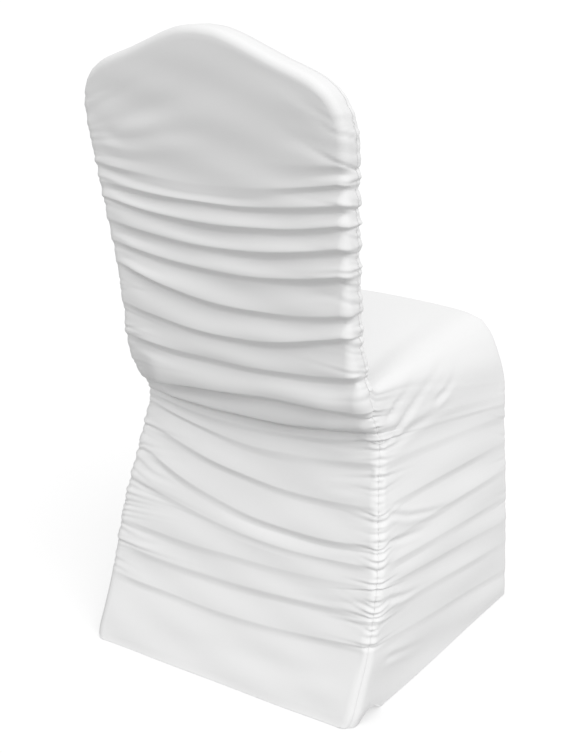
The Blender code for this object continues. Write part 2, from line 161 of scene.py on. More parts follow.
Crown = namedtuple("Crown", "x height")
CROWN = [Crown(*sizes) for sizes in [
    (0.000, 0.9270),
    (0.028, 0.9245),
    (0.055, 0.9165),
    (0.085, 0.9045),
    (0.115, 0.8925),
    (0.142, 0.8830),
    (0.164, 0.8740),
    (0.1820, 0.8620),
]]

FrontEdge = namedtuple("FrontEdge", "half_width height front_y")
FRONT_LEG = [FrontEdge(*sizes) for sizes in [
    (0.2245, 0.000, -0.2810),
    (0.2235, 0.110, -0.2705),
    (0.2205, 0.220, -0.2605),
    (0.2165, 0.300, -0.2530),
    (0.2160, 0.350, -0.2480),
    (0.2140, 0.380, -0.2455),
    (0.2085, 0.405, -0.2430),
    (0.2000, 0.430, -0.2402),
    (0.1890, 0.455, -0.2370),
    (0.1740, 0.474, -0.2335),
]]
FRONT_LEG_TOP = FRONT_LEG[-1].height
SEAT_FRONT = [FrontEdge(*sizes) for sizes in [
    (0.0000, 0.4885, -0.2320),
    (0.0580, 0.4875, -0.2320),
    (0.1060, 0.4855, -0.2322),
    (0.1500, 0.4815, -0.2325),
    (0.1740, 0.4740, -0.2335),
]]
print(len(REAR), "levels of the back and", len(FRONT_LEG), "of the front corner")

# %% Sizes of the rounded edges
SEAT_FRONT_REACH = 0.150
# From the outside back to the inside back
TUBE_DEPTH = 0.042
TUBE_RADIUS = 0.011
LEG_RADIUS = 0.018
INNER_RADIUS = 0.009
FRONT_RADIUS = 0.020
# How far the outside back reaches round the backrest's edge
MARGIN_REACH = 0.0305
# How far a cloth turns before the seam, on the skirt and on the backrest
LEG_TURN = radians(45)
FULL_TURN = radians(90)
# The curve from the seat to the inside back, and the seat's padding
FILLET_RADIUS = 0.030
SEAT_CROWN = 0.010
# From the tables' zero to the middle of the cover's footprint
TO_MIDDLE = Vector((-0.0002, 0.0023, 0.0))


def half_width(height):
    return read_table(REAR, "height", "half_width", height)


def rear_y(height):
    return read_table(REAR, "height", "rear_y", height)


def inner_y(height):
    return rear_y(height) - TUBE_DEPTH


def crown_height(x):
    return read_table(CROWN, "x", "height", abs(x))


print("The back is", round(2 * half_width(0.79), 3), "m wide at the shoulders and",
      round(2 * half_width(0.52), 3), "m at the waist")

# %% [markdown]
# ## The creases
#
# On the real cover each crease starts at a gather in the side seam, sags a little across the panel and ends
# at a gather in the other seam. A cloth simulation could find such creases, but not these ones. So each is
# placed one by one.

# %% Table of creases
# Heights are in metres: at the seam on the +X side, in the middle, at the seam on the -X side and at the
# front corner. Depths are in millimetres: at the same three places on the back, and on the side.
Crease = namedtuple("Crease", "plus middle minus front deep_plus deep_middle deep_minus deep_side")
CREASES = [Crease(*sizes) for sizes in [
    (0.7485, 0.7415, 0.7595, 0.384, 4.0, 0.0, 4.0, 0.0),
    (0.7265, 0.7135, 0.7395, 0.384, 4.5, 0.5, 5.0, 0.0),
    (0.6985, 0.6915, 0.7095, 0.384, 4.0, 5.0, 5.0, 0.0),
    (0.6805, 0.6595, 0.6855, 0.384, 4.0, 6.0, 5.5, 0.0),
    (0.6425, 0.6275, 0.6525, 0.384, 4.5, 5.0, 5.0, 0.0),
    (0.6135, 0.5935, 0.6155, 0.384, 4.5, 5.0, 5.5, 0.0),
    (0.5815, 0.5465, 0.5625, 0.384, 5.0, 5.5, 6.0, 0.0),
    (0.5215, 0.5015, 0.5335, 0.384, 4.5, 5.0, 5.0, 0.0),
    (0.4735, 0.4615, 0.4785, 0.384, 4.5, 4.0, 5.0, 0.0),
    (0.3950, 0.4160, 0.4240, 0.365, 5.0, 5.0, 5.0, 0.4),
    (0.3830, 0.3740, 0.3960, 0.347, 3.0, 3.0, 4.0, 0.8),
    (0.3750, 0.3530, 0.3820, 0.335, 2.0, 2.0, 4.0, 1.4),
    (0.3600, 0.3280, 0.3440, 0.308, 4.0, 4.0, 4.0, 3.5),
    (0.3230, 0.2820, 0.2850, 0.264, 5.0, 4.5, 5.0, 5.0),
    (0.2860, 0.2290, 0.2360, 0.218, 5.0, 5.0, 5.0, 5.0),
    (0.2340, 0.2010, 0.2060, 0.166, 4.5, 1.5, 2.5, 4.5),
    (0.1680, 0.1630, 0.1780, 0.126, 4.5, 2.0, 2.0, 3.0),
    (0.1300, 0.1250, 0.1420, 0.086, 4.5, 4.0, 4.0, 4.0),
    (0.0860, 0.0800, 0.0960, 0.034, 4.0, 3.5, 3.5, 3.5),
]]
# The hem hangs this far above the floor
HEM_LIFT = 0.0008
HEM = Crease(HEM_LIFT, HEM_LIFT, HEM_LIFT, HEM_LIFT, 0.0, 0.0, 0.0, 0.0)
CROWN_LINE = Crease(SHOULDER_HEIGHT, SHOULDER_HEIGHT, SHOULDER_HEIGHT, 0.384, 0.0, 0.0, 0.0, 0.0)
LINES = [CROWN_LINE] + CREASES + [HEM]
# The last line that is wholly on the backrest
LAST_TUBE_LINE = 9
MILLIMETRE = 0.001
print(len(CREASES), "creases, the deepest", max(c.deep_middle for c in CREASES), "mm")

# %% [markdown]
# ## Rows that follow the creases
#
# A crease that cuts across a grid's rows looks like a staircase. So every crease is a row of the grid, and
# the rows between two creases are crowded towards the lower one, where the cloth bends most.

# %% Spread rows between the creases
ROW_SPACING = 0.0018
FEWEST_ROWS = 9
SHOULDER_ROWS = 34
ROW_CROWDING = 1.5
Row = namedtuple("Row", "plus middle minus front line share crown")


def crowd(share):
    return 1.0 - (1.0 - share) ** ROW_CROWDING


def make_rows():
    rows = []
    for line, (upper, lower) in enumerate(zip(LINES, LINES[1:])):
        span = max(upper[i] - lower[i] for i in range(4))
        count = max(FEWEST_ROWS, round(span / ROW_SPACING))
        if line == 0:
            count = SHOULDER_ROWS
        for k in range(count):
            share = crowd(k / count)
            heights = [mix(a, b, share) for a, b in zip(upper[:4], lower[:4])]
            if line == 0:
                heights[1] = lower.middle
            rows.append(Row(*heights, line, share, 1.0 - share if line == 0 else 0.0))
    rows.append(Row(*HEM[:4], len(LINES) - 1, 0.0, 0.0))
    return rows


ROWS = make_rows()
# The row where the inside back, the outside back and the seat meet
SEAT_SHARE = 0.30
SEAT_PLACE = LAST_TUBE_LINE + SEAT_SHARE
SEAT_ROW = min(range(len(ROWS)), key=lambda i: abs(ROWS[i].line + ROWS[i].share - SEAT_PLACE))
LEG_ROWS = ROWS[SEAT_ROW:]
TUBE_ROWS = ROWS[:SEAT_ROW + 1]
print(len(ROWS), "rows, of which", len(TUBE_ROWS), "on the backrest")

# %% [markdown]
# ## The shape of a fold
#
# Gravity pulls each swag down over the crease below it. Going down the cloth from one crease to the next,
# the surface swells out to a lip and then drops back sharply. That uneven wave makes ruched cloth bright
# above each line and dark just below it. It could be sculpted, but a formula keeps all folds alike: a quarter
# of a sine wave up to the lip and a quarter of one down from it.

# %% One fold from crease to crease
# The drop's width as a share of the fold and at most, how late the cloth swells out, and the fold's strength
FoldShape = namedtuple("FoldShape", "drop_share drop_most rise_power gain")
CRISP = FoldShape(0.36, 0.0115, 1.30, 1.20)
SOFT = FoldShape(0.42, 0.0120, 1.30, 0.62)
WAIST = FoldShape(0.30, 0.0120, 1.00, 1.0)
LAST_CRISP_LINE = 11
# The lip stands out by this share of the crease's depth
LIP_RATIO = 0.55
# A crease is at most this share of its fold's height deep
STEEPEST = 0.32
SHORTEST_RUN = 0.003


def fold_swell(share, run, shape):
    """0 in the creases and 1 on the lip."""
    lip = 1.0 - min(shape.drop_share * run, shape.drop_most) / run
    if share < lip:
        return sin(0.5 * pi * (share / lip) ** shape.rise_power)
    return 1.0 - sin(0.5 * pi * (share - lip) / (1.0 - lip))


def fold_push(share, run, deep_up, deep_low, line):
    """How far the cloth stands out, share of the way down a run of cloth between two creases."""
    run = max(run, SHORTEST_RUN)
    shape = CRISP if line < LAST_CRISP_LINE else SOFT
    deep = min(mix(deep_up, deep_low, share) * shape.gain * MILLIMETRE, STEEPEST * run)
    return deep * (fold_swell(share, run, shape) * (1.0 + LIP_RATIO) - 1.0)


print("A fold 30 mm high swells by", round(1000 * fold_push(0.6, 0.03, 5.0, 5.0, 5), 1), "mm")

# %% [markdown]
# ## No crease is even
#
# A row of equal folds looks like a shutter. So slow waves make every crease deeper and shallower along its
# length, and lift and lower it a little. They are sines of the line's number and of the place across the
# panel, so they differ from crease to crease and are the same at every run.

# %% Waves along the creases
# Each wave's strength, how fast it runs across the panel, and how it shifts from line to line
Wave = namedtuple("Wave", "strength rate shift")
DEPTH_WAVES = [Wave(0.28, 3.3, 1.9), Wave(0.16, 7.1, 3.1)]
HEIGHT_WAVES = [Wave(0.0013, 3.9, 2.3), Wave(0.00065, 9.0, 4.1)]


def wave_sum(waves, line, u):
    return sum(wave.strength * sin(wave.rate * u + wave.shift * line) for wave in waves)


def waver(line, u):
    """A crease's depth at a place across the panel, as a share of what its table says."""
    return 1.0 + wave_sum(DEPTH_WAVES, line, u)


def wobble(line, u):
    """How far a crease is lifted at a place across the panel. The top edge and the hem stay true."""
    if line == 0 or line >= len(LINES) - 1:
        return 0.0
    return wave_sum(HEIGHT_WAVES, line, u)


print("The middle of crease 5 has", round(waver(5, 0.0), 2), "of its depth")

# %% Push of the outside back
# How late a crease's depth changes to its value at the seam
END_POWER = 3.2
# The smooth cloth above the first crease counts as a fold of this height
TOP_RUN = 0.11
# The last swags of the backrest hang over the waist: their swell as a share of their height
WAIST_SWELLS = {9: 0.24, 10: 0.40}
WAIST_AT_SEAM = 0.25
WAIST_FADE_FROM = 0.72
# Towards the +X seam the cloth is pulled flatter
EDGE_EASE = 0.28
EDGE_FROM = 0.78


def sagged(minus, middle, plus, u):
    """A value across the panel through its two seams and its middle."""
    return mix(minus, plus, (u + 1) / 2) + (middle - (minus + plus) / 2) * (1.0 - u * u)


def depth_along(line, u):
    """A crease's depth: its middle value holds most of the way, and its end value only near a seam."""
    end = line.deep_plus if u > 0 else line.deep_minus
    return mix(line.deep_middle, end, abs(u) ** END_POWER)


def back_push(row, u):
    """The push of the outside back at a row, from the -X seam at u = -1 to the +X seam at 1."""
    upper = LINES[row.line]
    lower = LINES[min(row.line + 1, len(LINES) - 1)]
    run = sagged(upper.minus, upper.middle, upper.plus, u) - sagged(lower.minus, lower.middle, lower.plus, u)
    deep_up = depth_along(upper, u) * waver(row.line, u)
    deep_low = depth_along(lower, u) * waver(row.line + 1, u)
    if row.line == 0:
        run = TOP_RUN
    push = fold_push(row.share, run, deep_up, deep_low, row.line)
    if row.line in WAIST_SWELLS:
        swell = WAIST_SWELLS[row.line] * mix(1.0, WAIST_AT_SEAM, ease(abs(u), WAIST_FADE_FROM, 1.0))
        push += swell * run * fold_swell(row.share, run, WAIST)
    return push * mix(1.0, EDGE_EASE, ease(u, EDGE_FROM, 1.0))


print("The longest push is", round(1000 * max(back_push(row, 0.0) for row in ROWS), 1), "mm")

# %% [markdown]
# ## Gathers at the seams
#
# Between the long creases the elastic makes many small gathers, which fade out a few centimetres from the
# seam. They are too many to place one by one, so they come from a seeded random spread, the same at every
# run. Both cloths at a seam read the same list, so that they still meet.

# %% Spread small gathers along the seams
Gather = namedtuple("Gather", "height depth width reach slope")
# The ranges of the random draws: sizes, widths and steps between gathers, and reaches and slopes
SIZES = (0.20, 1.0)
WIDTHS = (0.20, 0.30)
REACHES = (0.5, 1.9)
SLOPES = (-0.10, 0.35)
STEPS = (0.45, 1.50)


def spread_gathers(low, high, spacing, depth, reach, seed):
    draw = random.Random(seed)
    gathers = []
    height = low
    while height < high:
        size = draw.uniform(*SIZES)
        width = spacing * draw.uniform(*WIDTHS)
        gathers.append(Gather(height, depth * size, width, reach * size * draw.uniform(*REACHES),
                              draw.uniform(*SLOPES)))
        height += spacing * draw.uniform(*STEPS)
    return gathers


def on_both_seams(low, high, minus, plus):
    """Gathers of the -X and of the +X seam, from their spacing, depth, reach and seed."""
    return {-1: spread_gathers(low, high, *minus), 1: spread_gathers(low, high, *plus)}


TUBE_GATHERS = on_both_seams(0.470, 0.845, (0.0100, 0.0030, 0.030, 4), (0.0105, 0.0026, 0.030, 5))
LEG_GATHERS = on_both_seams(0.105, 0.440, (0.0085, 0.0050, 0.018, 6), (0.0115, 0.0032, 0.030, 7))
FRONT_GATHERS = on_both_seams(0.070, 0.400, (0.0125, 0.0014, 0.014, 8), (0.0125, 0.0014, 0.014, 9))
# A few pleats among the gathers reach much further into the cloth
TUBE_PLEATS = on_both_seams(0.455, 0.800, (0.020, 0.0026, 0.045, 10), (0.021, 0.0026, 0.050, 11))
LEG_PLEATS = on_both_seams(0.110, 0.400, (0.026, 0.0024, 0.045, 12), (0.024, 0.0024, 0.045, 13))
REAR_FAMILIES = (TUBE_GATHERS, TUBE_PLEATS, LEG_GATHERS, LEG_PLEATS)
print(sum(len(g) for g in TUBE_GATHERS.values()), "gathers on the backrest's seams")

# %% [markdown]
# ## What a gather does to the cloth
#
# Each gather is a narrow pinch with a small swell above it, both strongest at the seam. The seam itself lies
# in a shallow groove. Near it the long folds are flatter, because the elastic holds the seam straight.

# %% Push near the seams
PINCH_POWER = 1.5
GATHER_SHOULDER = 0.55
SHOULDER_AT = 1.6
SHOULDER_WIDTH = 1.1
# Past this many widths or reaches a gather does nothing
GATHER_END = 4.0
TUBE_GROOVE = 0.0012
LEG_GROOVE = 0.0014
GROOVE_REACH = 0.0035
GROOVE_BAND = (0.42, 0.49)
# The long folds at the seam, and where the skirt's share of them changes to the backrest's
LEG_SEAM_EASE = 0.35
TUBE_SEAM_EASE = 0.25
SEAM_EASE_BAND = (0.40, 0.49)
# The share of the rolled edge over which the long folds flatten
SEAM_EASE_BY = 0.75
CROWN_FADE_POWER = 6


def gather_push(gathers, height, reach_in):
    push = 0.0
    for g in gathers:
        offset = (height - g.height - g.slope * reach_in) / g.width
        if abs(offset) < GATHER_END and reach_in < GATHER_END * g.reach:
            shoulder = GATHER_SHOULDER * exp(-((offset - SHOULDER_AT) / SHOULDER_WIDTH) ** 2)
            pinch = exp(-abs(offset) ** PINCH_POWER) - shoulder
            push -= g.depth * pinch * exp(-reach_in / g.reach)
    return push


def crown_fade(row):
    """0 on the top edge, where nothing pushes the cloth, and 1 a little below it."""
    return 1.0 - row.crown ** CROWN_FADE_POWER


def rear_gathers(side, height, reach_in):
    """The push of all the gathers of a rear seam, and of its groove, reach_in metres from the seam."""
    groove = mix(LEG_GROOVE, TUBE_GROOVE, ease(height, *GROOVE_BAND))
    groove *= exp(-(reach_in / GROOVE_REACH) ** 2)
    return sum(gather_push(family[side], height, reach_in) for family in REAR_FAMILIES) - groove


def seam_ease(height):
    """The share of a long fold that is left at the seam."""
    return mix(LEG_SEAM_EASE, TUBE_SEAM_EASE, ease(height, *SEAM_EASE_BAND))


print("At the seam, 0.6 m up, the push is", round(1000 * rear_gathers(-1, 0.6, 0.0), 1), "mm")

# %% [markdown]
# ## Short wrinkles placed one by one
#
# Some wrinkles belong to one place: the fan that spreads over the seat from the waist corner, the broad dents
# under the shoulders, the short pleats beside a seam. Each is a path over the cloth with a depth and a width,
# deepest at its start. The cloth sinks by how near it is to a path, and swells a little beside it.

# %% Table of short wrinkles
# A wrinkle's depth and width and the places of its path, all in millimetres
Wrinkle = namedtuple("Wrinkle", "depth width path")


def in_metres(table):
    return [Wrinkle(depth * MILLIMETRE, width * MILLIMETRE, [Vector(place) / 1000 for place in path])
            for depth, width, path in table]


BACK_WRINKLES = in_metres([
    (2.2, 12, [(179, 252, 779), (123, 257, 801), (60, 261, 825), (2, 264, 837)]),
    (2.6, 10, [(178, 247, 775), (141, 246, 770), (69, 251, 785), (-15, 255, 794)]),
    (2.0, 8, [(-192, 254, 779), (-168, 255, 788), (-143, 256, 796), (-111, 256, 800)]),
    (1.6, 9, [(-190, 262, 822), (-165, 266, 840), (-140, 269, 856), (-105, 272, 872)]),
    (2.4, 4, [(-192, 218, 606), (-167, 217, 599), (-124, 215, 590)]),
    (2.2, 4, [(-189, 206, 535), (-162, 204, 529), (-115, 204, 526)]),
    (2.2, 4, [(190, 242, 726), (164, 241, 720), (129, 241, 718)]),
    (2.4, 4, [(188, 225, 638), (146, 223, 630), (94, 223, 625)]),
    (2.4, 5, [(185, 218, 604), (144, 216, 592), (93, 214, 583)]),
    (2.4, 5, [(182, 191, 466), (151, 189, 458), (98, 187, 450)]),
    (2.2, 4, [(206, 165, 236), (182, 165, 232), (155, 166, 231)]),
    (2.4, 4, [(205, 158, 265), (174, 160, 256), (130, 161, 251)]),
    (2.4, 4, [(216, 184, 155), (180, 184, 153), (133, 182, 158)]),
    (2.2, 5, [(-214, 166, 227), (-181, 168, 217), (-133, 170, 211)]),
    (2.2, 5, [(-204, 147, 324), (-166, 149, 311), (-126, 150, 304)]),
    (3.0, 4, [(-195, 139, 378), (-143, 141, 366), (-78, 142, 361)]),
    (2.0, 14, [(-215, 215, 62), (-120, 216, 50), (0, 219, 42), (150, 222, 36)]),
])
SIDE_WRINKLES = in_metres([
    (3.4, 5, [(-203, 118, 408), (-201, 94, 428), (-199, 66, 441), (-196, 36, 456)]),
    (3.6, 6, [(-205, 100, 386), (-205, 70, 404), (-201, 13, 432), (-192, -69, 457)]),
    (2.6, 6, [(-206, -4, 400), (-205, -41, 410), (-203, -68, 422), (-195, -96, 448)]),
    (2.2, 7, [(-206, 100, 375), (-207, 44, 382), (-207, -14, 388), (-209, -86, 386)]),
    (3.0, 4, [(-219, 138, 286), (-221, 74, 261), (-222, 19, 247), (-222, -56, 233)]),
    (2.4, 4, [(-224, 139, 244), (-224, 93, 234), (-225, 19, 222)]),
    (2.4, 4, [(-231, 150, 166), (-230, 105, 151), (-230, 50, 141)]),
    (2.0, 5, [(-233, 150, 74), (-232, 106, 63), (-230, 29, 44)]),
])
print(len(BACK_WRINKLES) + 2 * len(SIDE_WRINKLES), "wrinkles placed by hand")

# %% Push of the wrinkles
# A wrinkle deepens over the first share of its path and then fades
WRINKLE_START = (-0.01, 0.15)
WRINKLE_FADE = 1.5
PINCH_SHOULDER = 0.45
PINCH_SHOULDER_AT = 1.9
WRINKLE_END = 4.0
# Slow unevenness: its strength, how it leans, and its waves upwards, across and at their start
SLACK = 0.0007
SLACK_LEAN = 0.6
SLACK_WAVES = [(61.0, 17.0, 0.0), (97.0, -29.0, 2.0)]


def wrinkle_push(wrinkles, point):
    push = 0.0
    for wrinkle in wrinkles:
        reach = WRINKLE_END * wrinkle.width
        heights = [place.z for place in wrinkle.path]
        if not min(heights) - reach < point.z < max(heights) + reach:
            continue
        nearest = None
        steps = len(wrinkle.path) - 1
        for k in range(steps):
            start = wrinkle.path[k]
            run = wrinkle.path[k + 1] - start
            t = min(max((point - start).dot(run) / run.length_squared, 0.0), 1.0)
            distance = (point - start - run * t).length
            if nearest is None or distance < nearest[0]:
                nearest = (distance, (k + t) / steps)
        distance, along = nearest
        if distance < reach:
            offset = distance / wrinkle.width
            pinch = exp(-offset ** 2) - PINCH_SHOULDER * exp(-(offset - PINCH_SHOULDER_AT) ** 2)
            fade = ease(along, *WRINKLE_START) * (1.0 - along ** WRINKLE_FADE)
            push -= wrinkle.depth * pinch * fade
    return push


def slack(point):
    """Slow unevenness of cloth that is pulled more in one place than in another."""
    across = point.x + SLACK_LEAN * point.y
    return SLACK * sum(sin(up_rate * point.z + over_rate * across + start)
                       for up_rate, over_rate, start in SLACK_WAVES)


print("The slack is at most", round(2000 * SLACK, 1), "mm")

# %% [markdown]
# ## Round the edges
#
# Rolling a strip of cloth round an edge is simple if we measure along the cloth: for the first stretch the
# point travels on a circle, and after that straight on. Both panels at a seam are rolled this way from their
# own faces, and they meet at the same line.

# %% Roll cloth round an edge
# The heights between which the skirt's turn and rounding change to the backrest's
TURN_BAND = (0.335, 0.455)
ROUND_BAND = (0.400, 0.490)
# A way out is read from two places this far to either side
NORMAL_STEP = 0.002


def outline_normal(side, height):
    if height <= HEM_LIFT:
        return Vector((side, 0.0, 0.0))
    low = half_width(height - NORMAL_STEP)
    high = half_width(height + NORMAL_STEP)
    if height > SHOULDER_HEIGHT - NORMAL_STEP:
        high = low - 2.0 * NORMAL_STEP
    normal = Vector((2.0 * NORMAL_STEP, 0.0, low - high)).normalized()
    return Vector((side * normal.x, 0.0, normal.z))


def crown_normal(x):
    rise = crown_height(x + NORMAL_STEP) - crown_height(x - NORMAL_STEP)
    return Vector((-rise, 0.0, 2.0 * NORMAL_STEP)).normalized()


def side_edge(side, height):
    return Vector((side * half_width(height), 0.0, height)), outline_normal(side, height)


def crown_edge(u):
    x = u * CROWN[-1].x
    if abs(u) > 0.999:
        return side_edge(1 if u > 0 else -1, SHOULDER_HEIGHT)
    return Vector((x, 0.0, crown_height(x))), crown_normal(x)


def rear_turn(height):
    return mix(LEG_TURN, FULL_TURN, ease(height, *TURN_BAND))


def wrap(inner, normal, way, radius, turn, run):
    """Where cloth lies, run metres after it starts round an edge, and its way out there."""
    along = Vector((0.0, way, 0.0))
    angle = min(run / radius, turn)
    rest = max(run - radius * turn, 0.0)
    reach = radius * sin(angle) + rest * cos(turn)
    drop = radius * (1.0 - cos(angle)) + rest * sin(turn)
    return inner + normal * reach - along * drop, normal * sin(angle) + along * cos(angle)


def rear_radius(height):
    return mix(LEG_RADIUS, TUBE_RADIUS, ease(height, *ROUND_BAND))


def inner_radius(height):
    return INNER_RADIUS


def rear_margin(outer, normal, share):
    """A point on the outside back's rolled edge, its direction, and how far it is from the seam."""
    radius = rear_radius(outer.z)
    inner = outer - normal * radius
    inner.y = rear_y(inner.z)
    turn = rear_turn(outer.z)
    length = radius * turn + (MARGIN_REACH - radius) * ease(outer.z, *ROUND_BAND)
    point, out = wrap(inner, normal, 1.0, radius, turn, length * share)
    return point, out, length * (1.0 - share)


def inner_margin(outer, normal, share):
    """The same for the inside back, which ends at the outside back's seam."""
    seam, _, _ = rear_margin(outer, normal, 1.0)
    inner = outer - normal * INNER_RADIUS
    inner.y = inner_y(inner.z)
    length = INNER_RADIUS * FULL_TURN + seam.y - inner.y - INNER_RADIUS
    point, out = wrap(inner, normal, -1.0, INNER_RADIUS, FULL_TURN, length * share)
    return point, out, length * (1.0 - share)


# %% [markdown]
# ## The outside back
#
# The largest cloth runs from the top edge down to the floor and turns a little round both sides. Its middle
# is a grid of rows and columns. Rings of points roll over the sides and the top, because a grid alone would
# crush at the shoulders.

# %% Points of the outside back
# Columns from seam to seam, crowded towards both, and the rings' shares of the rolled edge
COLUMNS = 52
COLUMN_CROWDING = 1.35
RING_SHARES = [k / 12 for k in range(13)]
INNER_RINGS = len(RING_SHARES) - 2
# How late wrinkles and slack fade at the seams
FACE_FADE_POWER = 8
HEM_TUCK = 0.005
TUCK_HEIGHT = 0.022
TUCK_REACH = 0.030


def column_places(count):
    places = []
    for i in range(count + 1):
        t = 2.0 * i / count - 1.0
        reach = 1.0 - (1.0 - abs(t)) ** COLUMN_CROWDING
        places.append(reach if t > 0 else -reach)
    return places


def side_height(row, side):
    return row.plus if side > 0 else row.minus


def rim_edges(rows):
    """The cover's outline from the lowest row at -X over the crown to +X, with each place's row."""
    rim = [(*side_edge(-1, row.minus), row, -1) for row in reversed(rows)]
    rim += [(*crown_edge(u), None, 0) for u in column_places(COLUMNS)[1:-1]]
    rim += [(*side_edge(1, row.plus), row, 1) for row in rows]
    return rim


def face_point(row, u, radius):
    """A point in the XZ plane on the flat part of the outside or inside back."""
    minus, plus = [outer - normal * radius(outer.z) for outer, normal in
                   (side_edge(-1, row.minus), side_edge(1, row.plus))]
    sag = 1.0 - u * u
    point = mix(minus, plus, (u + 1) / 2)
    if row.crown == 0.0:
        point.z += (row.middle - (row.minus + row.plus) / 2) * sag
        point.z += mix(wobble(row.line, u), wobble(row.line + 1, u), row.share) * sag
        return point
    outer, normal = crown_edge(u)
    top = outer - normal * radius(outer.z)
    outer, normal = crown_edge(1.0)
    corner = outer - normal * radius(outer.z)
    first = CREASES[0]
    swag = (first.middle - (first.minus + first.plus) / 2 + wobble(1, u)) * sag
    point.x += (top.x - u * corner.x) * row.crown
    point.z += mix(swag, top.z - corner.z, row.crown)
    return point


def flat_reach(u, height):
    """How far a point on the flat back is from the nearer side seam."""
    side = 1 if u > 0 else -1
    _, _, margin = rear_margin(*side_edge(side, height), 0.0)
    return margin + (1.0 - abs(u)) * half_width(height)


def corner_tuck(height, reach):
    """The hem's rear corners are drawn in under the foot."""
    return HEM_TUCK * max(0.0, 1.0 - height / TUCK_HEIGHT) ** 2 * exp(-reach / TUCK_REACH)


def ring_push(row, side, share, reach, at_face):
    """The push on a rolled edge. At its flat end this share of the long folds is left."""
    height = side_height(row, side)
    push = back_push(row, side) * mix(at_face, seam_ease(height), ease(share, 0.0, SEAM_EASE_BY))
    return push + rear_gathers(side, height, reach) * crown_fade(row)


def roll_edges(rows, margin, at_face):
    rings = []
    for share in RING_SHARES:
        ring = []
        for outer, normal, row, side in rim_edges(rows):
            point, out, reach = margin(outer, normal, share)
            if row:
                point.x -= side * corner_tuck(side_height(row, side), 0.0)
                point += out * ring_push(row, side, share, reach, at_face)
            ring.append(point)
        rings.append(ring)
    return rings


def outside_back_points():
    face = []
    for row in ROWS:
        line = []
        for u in column_places(COLUMNS):
            side = 1 if u > 0 else -1
            height = side_height(row, side)
            point = face_point(row, u, rear_radius)
            push = back_push(row, u) + rear_gathers(side, height, flat_reach(u, height)) * crown_fade(row)
            point.y = rear_y(point.z)
            inside = (1.0 - abs(u) ** FACE_FADE_POWER) * crown_fade(row)
            push += (wrinkle_push(BACK_WRINKLES, point) + slack(point)) * inside
            point.y += push
            point.x -= side * corner_tuck(height, flat_reach(u, height) - flat_reach(1.0, height))
            line.append(point)
        face.append(line)
    return [face, roll_edges(ROWS, rear_margin, 1.0)]


# %% [markdown]
# ## The inside back
#
# The front of the backrest carries the same swags, but softer, because the elastic is on the outside. It ends
# where it meets the seat, on a small curve.

# %% Points of the inside back
# The share of the outside's folds that the inside has, in its middle and at the edge of its flat face
INNER_EASE = 0.6
INNER_EASE_AT_FACE = 0.4
FACE_EDGE_FROM = 0.9
# Where the curve to the seat fades out towards the seams
FILLET_FADE = (0.75, 0.98)


def fillet(height_above):
    reach = FILLET_RADIUS * sin(LEG_TURN)
    left = max(reach - height_above, 0.0)
    return FILLET_RADIUS - sqrt(FILLET_RADIUS ** 2 - left ** 2)


def fillet_fade(u):
    return 1.0 - ease(abs(u), *FILLET_FADE)


def base_point(u):
    base = TUBE_ROWS[-1]._replace(middle=(TUBE_ROWS[-1].minus + TUBE_ROWS[-1].plus) / 2)
    point = face_point(base, u, inner_radius)
    point.y = inner_y(point.z) - fillet(0.0) * fillet_fade(u)
    return point


def base_push(u):
    return back_push(TUBE_ROWS[-1], u) * INNER_EASE_AT_FACE * ease(abs(u), FACE_EDGE_FROM, 1.0)


def inner_reach(side, height):
    """The length of the inside back's rolled edge, from its face to the seam."""
    return inner_margin(*side_edge(side, height), 0.0)[2]


def inside_back_points():
    face = []
    for row in TUBE_ROWS:
        line = []
        for u in column_places(COLUMNS):
            side = 1 if u > 0 else -1
            point = face_point(row, u, inner_radius)
            base = base_point(u)
            share = mix(INNER_EASE, INNER_EASE_AT_FACE, ease(abs(u), FACE_EDGE_FROM, 1.0))
            push = back_push(row, u) * share
            height = side_height(row, side)
            reach = inner_reach(side, height) + (1.0 - abs(u)) * half_width(height)
            push += rear_gathers(side, height, reach) * crown_fade(row)
            point.y = inner_y(point.z) - push - fillet(point.z - base.z) * fillet_fade(u)
            if row is TUBE_ROWS[-1]:
                point = base + Vector((0.0, -base_push(u), 0.0))
            line.append(point)
        face.append(line)
    return [face, roll_edges(TUBE_ROWS, inner_margin, INNER_EASE_AT_FACE)]


# %% [markdown]
# ## The seat and the sides
#
# One cloth covers the seat and both sides of the skirt, from the hem on one side over the seat to the hem on
# the other. Its lines run from the outside back's seam to the front seam. On the sides the creases start
# at the gathered seam and slant down to the front corner of the skirt.

# %% Points of the seat and the sides
SADDLE_STATIONS = 56
STATION_CROWDING = 0.55
# How far from the seam the leg's side takes its own folds, and how strong these are, also at the front
SIDE_FADE = 0.07
SIDE_FOLD_SHARE = 0.60
FRONT_EASE = 0.45
FRONT_EASE_FROM = 0.6
# How far from a seam the push turns from the seam's way out to the cloth's own
SEAM_REACH = 0.020
# The cloth's way out turns to the front seam's by this share of the way there
OUT_BLEND = 0.5
# The cloth dips in front of the backrest: how deep, how far down the skirt, and where it starts and ends
CORNER_DIP = 0.008
CORNER_DIP_FADE = 0.035
DIP_START = 0.012
DIP_END = 0.120
# The height below the seat over which the side's folds start, and how flat the padding is across
SEAT_EASE = 0.020
DOME_POWER = 4
# Wrinkles and slack grow over this stretch from a seam
LOOSE = (0.004, 0.02)
# A line's way out is smoothed over this length, out to three times of it
NORMAL_REACH = 0.010
NORMAL_END = 3.0
SMALLEST_TURN = 0.001
# The lift of the hem in front of the rear foot
HEM_SCALLOP = 0.013
SCALLOP_FROM_FOOT = 0.045
SCALLOP_SPREAD = 0.026
SCALLOP_HEIGHT = 0.060


def front_edge(height):
    return Vector((read_table(FRONT_LEG, "height", "half_width", height),
                   read_table(FRONT_LEG, "height", "front_y", height), height))


